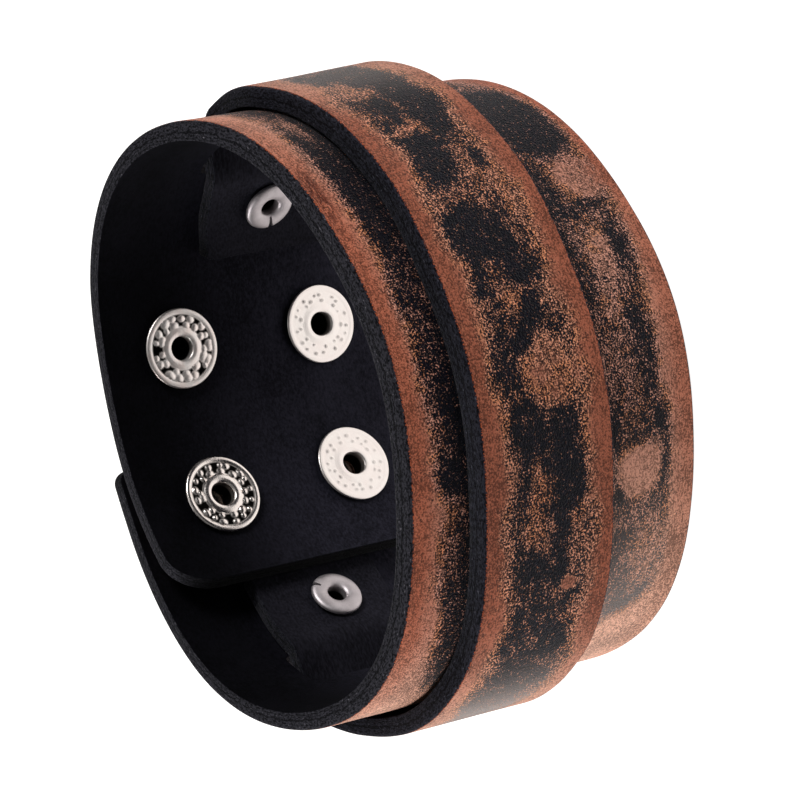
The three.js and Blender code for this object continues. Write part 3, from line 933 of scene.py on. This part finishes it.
steel = finish("rolled_nickel_plate", plated_steel(0.52, srgb(190, 182, 184), srgb(216, 208, 210)))
for number, (at, height, slit_turn, slit_from) in enumerate(RIVETS, 1):
    half_band = band_leather(at) / 2
    face = -half_band - FIT_GAP - strap_leather(at) - RIVET["seat"]
    through = half_band - face + FIT_GAP
    middle, half = (RIVET["ring"] + RIVET["bore"]) / 2, (RIVET["ring"] - RIVET["bore"]) / 2
    rolled = []
    for k in range(ROLL_STEPS + 1):
        turn = math.pi * k / ROLL_STEPS
        rolled.append((middle - half * math.cos(turn), -0.15 - RIVET["crest"] * abs(math.sin(turn)) ** 0.65))
    head = rounded([
        (RIVET["tube"], through),
        (RIVET["head"] - 0.2, through),
        (RIVET["head"], through + 0.3),
        (RIVET["head"] * 0.75, through + 0.75),
        (RIVET["head"] * 0.4, through + 0.92),
        (0, through + 0.95),
        (0, RIVET["closed_at"]),
        (RIVET["bore"], RIVET["closed_at"]),
        (RIVET["bore"], 0.5),
    ], 0.25)
    profile = [*rolled, (RIVET["ring"] - 0.25, 0), (RIVET["tube"], 0), *head]
    # Painted shade darkens the inside of the tube.
    whole = turned_mesh(profile, 120, tarnish_and_shade=tube_shade(RIVET["bore"], RIVET["closed_at"] + 0.4))
    piece = set_piece(
        f"tube_rivet_{number}_set",
        subtract(whole, slit_cutter(slit_turn, slit_from)),
        wall_frame(at, height, face),
        steel,
    )
    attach(piece, "root")
    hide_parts(f"tube_rivet_{number}")

# ---- Snap posts ----
# Pressed nickel-plated discs on the flesh side. A rolled rim, a ring of coarse knurling and a collar
# surround the tube, which goes through the leather and is spread over on the other side.
snap_steel = finish("nickel_plate", plated_steel(0.24, srgb(242, 231, 225), srgb(255, 246, 240)))
satin_steel = finish("satin_nickel_plate", plated_steel(0.34, srgb(248, 238, 233), srgb(255, 248, 243)))
scuffed_steel = finish("scuffed_nickel_plate", plated_steel(0.42, srgb(255, 240, 233), srgb(255, 250, 246)))
SNAP_WEAR = {
    # finish, size of the beads against the plan, their height and the ridges' in mm, tarnish, and how
    # far up a bead the tarnish is full and has gone (on 2 and 4 it is the beads' tops that keep it)
    1: (scuffed_steel, 1.2, 0.16, 0.06, 1.0, 0.0, 0.16),
    2: (satin_steel, 0.75, 0.1, 0.04, 0.32, 0.6, 0.3),
    3: (snap_steel, 1.15, 0.3, 0.16, 1.0, 0.06, 0.35),
    4: (satin_steel, 0.7, 0.08, 0.03, 0.2, 0.6, 0.3),
}
POST = {"flange": 5.45, "tube": 1.95, "bore": 1.6, "seat": 0.58, "open_end": 1.6, "fastened_end": 0.15}
KNURL_ROWS = ((3.25, 13, 0.34), (4.08, 17, 0.34))  # radius, count, half width
KNURL_FROM, KNURL_TO, KNURL_STEPS = 2.85, 4.55, 14
DISC, CURLED_BORE = 0.4, 0.5  # the disc's height over its seat, and the bore of an open tube's far end


def knurling(seed, size):
    """Scattered oval beads in two rings, as a share of their height over the disc."""
    draw = np.random.default_rng(seed)
    beads = []
    for radius, count, half in KNURL_ROWS:
        for k in range(count):
            turn = math.tau * (k + draw.uniform(-0.3, 0.3)) / count
            reach = radius + draw.uniform(-0.14, 0.14)
            width = size * half * draw.uniform(0.75, 1.25)
            beads.append((reach, turn, width, width * draw.uniform(0.7, 1.4), draw.uniform(0.6, 1)))

    def share(radius, turn):
        total = 0 * radius * turn
        for reach, at, width, long, tall in beads:
            around = (turn - at + math.pi) % math.tau - math.pi
            away = ((radius - reach) / width) ** 2 + (around * reach / long) ** 2
            total = np.maximum(total, tall * np.exp(-(away**1.6)))
        return total * (radius > KNURL_FROM) * (radius < KNURL_TO)

    return share


def disc_tarnish_and_shade(beads, amount, low, high, in_tube):
    """Tarnish on a knurled ring, low between its beads or high on them, and painted shade inside its tube.
    """

    def tarnish_and_shade(radius, turn, depth):
        begun = eased(radius, KNURL_FROM, KNURL_FROM + 0.25)
        ended = eased(radius, KNURL_TO - 0.1, KNURL_TO + 0.1)
        ring = begun * (1 - ended) * (depth < -0.1) * (1 - eased(beads(radius, turn), low, high))
        return np.maximum(amount * ring, in_tube(radius, turn, depth))

    return tarnish_and_shade


for number, at, height, fastened in SNAPS:
    metal, bead_size, bead_height, ridge, tarnish, low, high = SNAP_WEAR[number]
    flange, bore, tube = POST["flange"], POST["bore"], POST["tube"]
    leather = band_leather(at)
    through = leather + POST["seat"] + POST["fastened_end" if fastened else "open_end"]
    curled = [] if fastened else [(CURLED_BORE, through), (CURLED_BORE, through - 0.3)]
    outside = rounded([
        (flange, -0.2),
        (flange - 0.2, 0),
        (tube, 0),
        (tube, through),
        *curled,
        (bore, through - 0.3),
        (bore, 0.9),
        (bore, -0.3),
        (bore + 0.2, -DISC - 0.02 - ridge * 0.7),
        (bore + 0.6, -DISC - 0.06 - ridge),
        (bore + 1.0, -DISC - 0.02 - ridge * 0.8),
        (bore + 1.25, -DISC - 0.02),
    ], 0.14)[3:]
    knurl_step = (KNURL_TO - KNURL_FROM) / KNURL_STEPS
    knurled = [(KNURL_FROM + knurl_step * k, -DISC) for k in range(KNURL_STEPS + 1)]
    rolled_rim = rounded([
        (flange - 0.9, -DISC),
        (flange - 0.55, -DISC - ridge),
        (flange - 0.15, 0.02 - DISC - ridge * 0.8),
        (flange, -0.2),
    ], 0.14)[3:-2]
    beads = knurling(number, bead_size)
    mesh = turned_mesh(
        [*outside, *knurled, *rolled_rim],
        168,
        raised=lambda radius, turn: bead_height * beads(radius, turn),
        tarnish_and_shade=disc_tarnish_and_shade(beads, tarnish, low, high, tube_shade(bore, through - 0.2)),
    )
    seat = wall_frame(at, height, -leather / 2 - POST["seat"])
    piece = set_piece(f"snap_post_{number}_set", mesh, seat, metal)
    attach(piece, "root")
    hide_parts(f"snap_post_{number}")

# ---- Snap studs and caps ----
# Outside, the two open snaps end in a ring with a knob, and the two fastened ones in a domed cap
# whose shank holds the outer end of the band. All are pressed from the same plated steel.
STUD = {"flange": 4.5, "neck": 2.85, "knob": 3.1, "bore": 2.3}
CAP = {"radius": 6.0, "height": 1.9, "shank": 1.9, "disc": 3.0, "disc_height": 0.35}
for number, at, height, fastened in SNAPS:
    leather = band_leather(at)
    if fastened:
        shank_end = -leather - 2 * FIT_GAP
        radius, crown = CAP["radius"], CAP["height"]
        profile = rounded([
            (0, shank_end - CAP["disc_height"]),
            (CAP["disc"], shank_end - CAP["disc_height"]),
            (CAP["disc"], shank_end),
            (CAP["shank"], shank_end),
            (CAP["shank"], 0),
            (radius - 0.3, 0),
            (radius, 0.35),
            (radius - 0.25, 0.8),
            (radius * 0.8, crown * 0.75),
            (radius * 0.45, crown * 0.95),
            (0, crown),
        ], 0.6)
        name = f"snap_cap_{number}"
        at = at - 360
    else:
        profile = rounded([
            (STUD["bore"], 0),
            (STUD["flange"], 0),
            (STUD["flange"], 0.5),
            (STUD["flange"] - 0.3, 0.75),
            (STUD["neck"], 0.8),
            (STUD["neck"], 1.3),
            (STUD["knob"], 1.9),
            (STUD["knob"] - 0.1, 2.3),
            (STUD["bore"] + 0.15, 2.6),
            (STUD["bore"], 2.4),
        ], 0.15)
        name = f"snap_stud_{number}"
    seat = wall_frame(at, height, leather / 2 + FIT_GAP)
    piece = set_piece(name + "_set", turned_mesh(profile), seat, snap_steel)
    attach(piece, "root")
    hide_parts(name)

# ---- Camera, floor and light ----
# The cuff lies on its lower rim on a plain pale floor. The camera looks down on it from in front and
# is turned a quarter on its side, and three soft lamps and a dim white room light it.
LAMPS = (
    # name, place, width and height, watts
    ("key_lamp", (0.65, -0.15, 0.45), 0.25, 4.2),
    ("overhead_lamp", (0.1, 0.2, 0.8), 0.6, 0.6),
    ("side_lamp", (-0.7, 0.1, 0.35), 0.4, 7),
)
LIT_POINT = Vector((0, 0, 0.02))
CAMERA_TURNS = (-15.851, 51.913, -104.461)
FLOOR_REACH = 2

camera = place_object("camera", bpy.data.cameras.new("camera"))
camera.data.lens = 119.26
camera.data.clip_start = 0.01
camera.location = (0.02451, -0.27074, 0.21909)
camera.rotation_euler = [math.radians(turn) for turn in CAMERA_TURNS]
bpy.context.scene.camera = camera


def pale_floor(start):
    return start.node("BsdfPrincipled", None, {
        "Base Color": (0.4, 0.4, 0.4, 1),
        "Roughness": 0.9,
        "Emission Color": (1, 0.972, 0.95, 1),
        "Emission Strength": 0.97,
    })


floor_mesh = bpy.data.meshes.new("floor")
floor_corners = [(x * FLOOR_REACH, y * FLOOR_REACH, 0) for x, y in ((-1, -1), (1, -1), (1, 1), (-1, 1))]
floor_mesh.from_pydata(floor_corners, [], [(0, 1, 2, 3)])
floor_mesh.materials.append(finish("pale_floor", pale_floor))
floor = place_object("floor", floor_mesh)

for name, place, size, watts in LAMPS:
    lamp = place_object(name, bpy.data.lights.new(name, "AREA"))
    lamp.data.shape, lamp.data.size, lamp.data.energy = "SQUARE", size, watts
    lamp.location = place
    lamp.rotation_euler = (LIT_POINT - Vector(place)).to_track_quat("-Z", "Y").to_euler()
world = bpy.data.worlds.new("studio")
world.use_nodes = True
background = world.node_tree.nodes["Background"].inputs
background["Color"].default_value = (1, 1, 1, 1)
background["Strength"].default_value = 0.13
bpy.context.scene.world = world
bpy.context.scene.view_settings.view_transform = "Standard"
